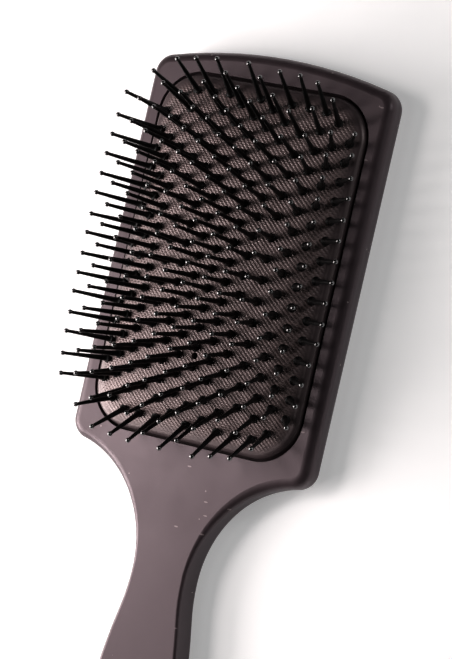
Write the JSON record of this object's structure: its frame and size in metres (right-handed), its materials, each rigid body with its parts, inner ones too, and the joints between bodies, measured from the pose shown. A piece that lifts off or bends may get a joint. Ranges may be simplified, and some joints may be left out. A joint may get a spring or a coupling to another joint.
{
  "type": "paddle brush",
  "caption": "Flat hair brush with a broad square head, a domed rubber cushion full of ball-tipped pins that flex, and a waisted grip.",
  "frame": {"origin": "under the middle of the whole brush, on the plane that its back lies on", "axes": "+X across the head, +Y from the grip's end to the head, +Z out of the pins"},
  "size_m": [0.086, 0.248, 0.0348],
  "materials": {
    "soft_touch_body": "satin soft-touch paint, dark taupe",
    "ring_plastic": "plain moulded, black",
    "cushion_rubber": "matte, with a moulded cloth weave",
    "pin_nylon": "glossy moulded nylon, black"
  },
  "bodies": {
    "body": {"front_shell": "soft_touch_body", "back_shell": "soft_touch_body", "cushion_ring": "ring_plastic"},
    "cushion": {"cushion": "cushion_rubber"},
    "row_01": {"pin_row_01": "pin_nylon"},
    "row_02": {"pin_row_02": "pin_nylon"},
    "row_03": {"pin_row_03": "pin_nylon"},
    "row_04": {"pin_row_04": "pin_nylon"},
    "row_05": {"pin_row_05": "pin_nylon"},
    "row_06": {"pin_row_06": "pin_nylon"},
    "row_07": {"pin_row_07": "pin_nylon"},
    "row_08": {"pin_row_08": "pin_nylon"},
    "row_09": {"pin_row_09": "pin_nylon"},
    "row_10": {"pin_row_10": "pin_nylon"},
    "row_11": {"pin_row_11": "pin_nylon"},
    "row_12": {"pin_row_12": "pin_nylon"},
    "row_13": {"pin_row_13": "pin_nylon"}
  },
  "joints": [
    {"name": "cushion_press", "type": "slide", "parent": "body", "child": "cushion", "axis": [0, 0, -1], "range_m": [0, 0.003], "stiffness_N_per_m": 3000, "deforming": ["cushion"]},
    {"name": "row_01_rock", "type": "hinge", "parent": "cushion", "child": "row_01", "pos_m": [-0.0316, 0.0606, 0.0128], "axis": [0, 1, 0], "range_deg": [-8, 8], "stiffness_Nm_per_rad": 0.02},
    {"name": "row_02_rock", "type": "hinge", "parent": "cushion", "child": "row_02", "pos_m": [-0.027, 0.0606, 0.0144], "axis": [0, 1, 0], "range_deg": [-8, 8], "stiffness_Nm_per_rad": 0.02},
    {"name": "row_03_rock", "type": "hinge", "parent": "cushion", "child": "row_03", "pos_m": [-0.0223, 0.0606, 0.0154], "axis": [0, 1, 0], "range_deg": [-8, 8], "stiffness_Nm_per_rad": 0.02},
    {"name": "row_04_rock", "type": "hinge", "parent": "cushion", "child": "row_04", "pos_m": [-0.0166, 0.0606, 0.0162], "axis": [0, 1, 0], "range_deg": [-8, 8], "stiffness_Nm_per_rad": 0.02},
    {"name": "row_05_rock", "type": "hinge", "parent": "cushion", "child": "row_05", "pos_m": [-0.0107, 0.0606, 0.0167], "axis": [0, 1, 0], "range_deg": [-8, 8], "stiffness_Nm_per_rad": 0.02},
    {"name": "row_06_rock", "type": "hinge", "parent": "cushion", "child": "row_06", "pos_m": [-0.0054, 0.0606, 0.0169], "axis": [0, 1, 0], "range_deg": [-8, 8], "stiffness_Nm_per_rad": 0.02},
    {"name": "row_07_rock", "type": "hinge", "parent": "cushion", "child": "row_07", "pos_m": [0, 0.0606, 0.017], "axis": [0, 1, 0], "range_deg": [-8, 8], "stiffness_Nm_per_rad": 0.02},
    {"name": "row_08_rock", "type": "hinge", "parent": "cushion", "child": "row_08", "pos_m": [0.0054, 0.0606, 0.0169], "axis": [0, 1, 0], "range_deg": [-8, 8], "stiffness_Nm_per_rad": 0.02},
    {"name": "row_09_rock", "type": "hinge", "parent": "cushion", "child": "row_09", "pos_m": [0.0107, 0.0606, 0.0167], "axis": [0, 1, 0], "range_deg": [-8, 8], "stiffness_Nm_per_rad": 0.02},
    {"name": "row_10_rock", "type": "hinge", "parent": "cushion", "child": "row_10", "pos_m": [0.0166, 0.0606, 0.0162], "axis": [0, 1, 0], "range_deg": [-8, 8], "stiffness_Nm_per_rad": 0.02},
    {"name": "row_11_rock", "type": "hinge", "parent": "cushion", "child": "row_11", "pos_m": [0.0223, 0.0606, 0.0154], "axis": [0, 1, 0], "range_deg": [-8, 8], "stiffness_Nm_per_rad": 0.02},
    {"name": "row_12_rock", "type": "hinge", "parent": "cushion", "child": "row_12", "pos_m": [0.027, 0.0606, 0.0144], "axis": [0, 1, 0], "range_deg": [-8, 8], "stiffness_Nm_per_rad": 0.02},
    {"name": "row_13_rock", "type": "hinge", "parent": "cushion", "child": "row_13", "pos_m": [0.0316, 0.0606, 0.0128], "axis": [0, 1, 0], "range_deg": [-8, 8], "stiffness_Nm_per_rad": 0.02}
  ]
}
